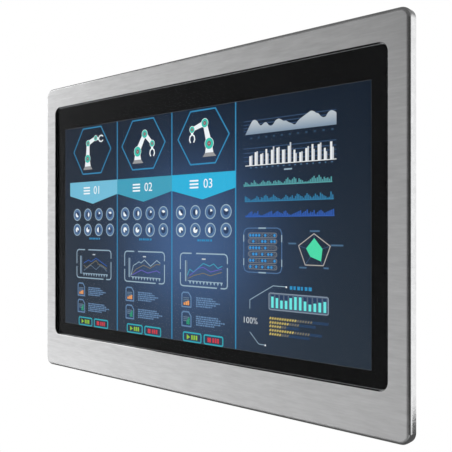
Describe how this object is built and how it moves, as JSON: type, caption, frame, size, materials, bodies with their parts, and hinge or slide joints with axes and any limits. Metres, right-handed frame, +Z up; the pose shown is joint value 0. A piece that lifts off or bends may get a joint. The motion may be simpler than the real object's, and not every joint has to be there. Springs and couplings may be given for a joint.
{
  "type": "hmi touch panel",
  "caption": "Flush-front industrial touch panel computer with brushed steel bezel, glass screen, finned rear housing, panel clamps and connector wall.",
  "frame": {"origin": "centre of the 100 mm mounting pattern, on the rear face", "axes": "+X along the width, +Y out of the rear face, +Z up; the screen faces -Y"},
  "size_m": [0.404, 0.056, 0.283],
  "materials": {
    "brushed_front": "fine horizontal brushing",
    "cover_glass": "smooth",
    "border_ink": "printed ink",
    "black_tape": "matt",
    "sensor_film": "clear film",
    "clear_gel": "clear",
    "gasket_rubber": "matt",
    "zinc_steel": "zinc plated",
    "sheet_steel": "galvanised sheet",
    "display_cell": "display, lit in use",
    "white_film": "satin",
    "clear_acrylic": "clear acrylic",
    "circuit_board": "solder mask",
    "flex_film": "polyimide",
    "cast_aluminium": "blasted and anodised",
    "screw_steel": "plain",
    "plate_foil": "satin foil",
    "brass_screw": "plain",
    "chip_black": "moulded",
    "plain_aluminium": "milled",
    "thermal_pad": "soft",
    "socket_plastic": "moulded",
    "drive_case": "satin",
    "cell_steel": "plain",
    "port_metal": "tinned sheet",
    "card_plastic": "moulded",
    "terminal_green": "moulded",
    "button_steel": "turned",
    "door_metal": "fine texture",
    "foot_plastic": "moulded"
  },
  "bodies": {
    "main": {"front_bezel": "brushed_front", "cover_glass": "cover_glass", "border_print": "border_ink", "bonding_tape": "black_tape", "touch_sensor": "sensor_film", "optical_bond": "clear_gel", "panel_gasket": "gasket_rubber", "stud_set": "zinc_steel", "stud_nuts": "zinc_steel", "lcd_front_frame": "sheet_steel", "lcd_cell": "display_cell", "backlight_films": "white_film", "light_guide": "clear_acrylic", "led_strip": "circuit_board", "lcd_rear_tray": "sheet_steel", "lcd_driver_board": "circuit_board", "lcd_clips": "zinc_steel", "chassis_frame": "sheet_steel", "mid_plate": "sheet_steel", "touch_controller": "circuit_board", "touch_flex": "flex_film", "rear_housing": "cast_aluminium", "pan_screws": "screw_steel", "vesa_inserts": "screw_steel", "rating_plate": "plate_foil", "earth_screw": "brass_screw", "mainboard": "circuit_board", "board_standoffs": "brass_screw", "cpu_package": "chip_black", "heat_spreader": "plain_aluminium", "thermal_pad": "thermal_pad", "memory_socket": "socket_plastic", "memory_module": "circuit_board", "storage_drive": "drive_case", "battery_holder": "socket_plastic", "coin_cell": "cell_steel", "board_parts": "chip_black", "card_slot": "port_metal", "memory_card": "card_plastic", "lan_ports": "port_metal", "usb_shells": "port_metal", "usb_tongues": "socket_plastic", "hdmi_port": "port_metal", "terminal_header": "terminal_green", "terminal_plug": "terminal_green", "terminal_screws": "screw_steel", "button_switches": "socket_plastic", "door_pin": "screw_steel", "clamp_brackets": "zinc_steel"},
    "power_button": {"power_button": "button_steel"},
    "reset_button": {"reset_button": "socket_plastic"},
    "storage_door": {"storage_door": "door_metal"},
    "clamp_foot_1": {"clamp_foot_1": "foot_plastic"},
    "clamp_screw_1": {"clamp_screw_1": "screw_steel"},
    "clamp_foot_2": {"clamp_foot_2": "foot_plastic"},
    "clamp_screw_2": {"clamp_screw_2": "screw_steel"},
    "clamp_foot_3": {"clamp_foot_3": "foot_plastic"},
    "clamp_screw_3": {"clamp_screw_3": "screw_steel"},
    "clamp_foot_4": {"clamp_foot_4": "foot_plastic"},
    "clamp_screw_4": {"clamp_screw_4": "screw_steel"}
  },
  "joints": [
    {"name": "power_press", "type": "slide", "parent": "main", "child": "power_button", "axis": [0, 0, 1], "range_m": [0, 0.0012], "stiffness_N_per_m": 600, "springref_m": -0.0005},
    {"name": "reset_press", "type": "slide", "parent": "main", "child": "reset_button", "axis": [0, 0, 1], "range_m": [0, 0.0012], "stiffness_N_per_m": 500, "springref_m": -0.0005},
    {"name": "door_hinge", "type": "hinge", "parent": "main", "child": "storage_door", "pos_m": [0.1526, -0.0095, 0.015], "axis": [0, 0, 1], "range_deg": [0, 100]},
    {"name": "clamp_1_press", "type": "slide", "parent": "main", "child": "clamp_foot_1", "axis": [0, -1, 0], "range_m": [0, 0.008]},
    {"name": "clamp_1_turn", "type": "hinge", "parent": "clamp_foot_1", "child": "clamp_screw_1", "pos_m": [-0.155, -0.023, 0.1355], "axis": [0, -1, 0], "range_deg": [0, 4116]},
    {"name": "clamp_2_press", "type": "slide", "parent": "main", "child": "clamp_foot_2", "axis": [0, -1, 0], "range_m": [0, 0.008]},
    {"name": "clamp_2_turn", "type": "hinge", "parent": "clamp_foot_2", "child": "clamp_screw_2", "pos_m": [0.155, -0.023, 0.1355], "axis": [0, -1, 0], "range_deg": [0, 4116]},
    {"name": "clamp_3_press", "type": "slide", "parent": "main", "child": "clamp_foot_3", "axis": [0, -1, 0], "range_m": [0, 0.008]},
    {"name": "clamp_3_turn", "type": "hinge", "parent": "clamp_foot_3", "child": "clamp_screw_3", "pos_m": [-0.155, -0.023, -0.1355], "axis": [0, -1, 0], "range_deg": [0, 4116]},
    {"name": "clamp_4_press", "type": "slide", "parent": "main", "child": "clamp_foot_4", "axis": [0, -1, 0], "range_m": [0, 0.008]},
    {"name": "clamp_4_turn", "type": "hinge", "parent": "clamp_foot_4", "child": "clamp_screw_4", "pos_m": [0.155, -0.023, -0.1355], "axis": [0, -1, 0], "range_deg": [0, 4116]}
  ],
  "couplings": [
    {"joint": "clamp_1_turn", "follows": "clamp_1_press", "rad_per_m": 8976},
    {"joint": "clamp_2_turn", "follows": "clamp_2_press", "rad_per_m": 8976},
    {"joint": "clamp_3_turn", "follows": "clamp_3_press", "rad_per_m": 8976},
    {"joint": "clamp_4_turn", "follows": "clamp_4_press", "rad_per_m": 8976}
  ]
}
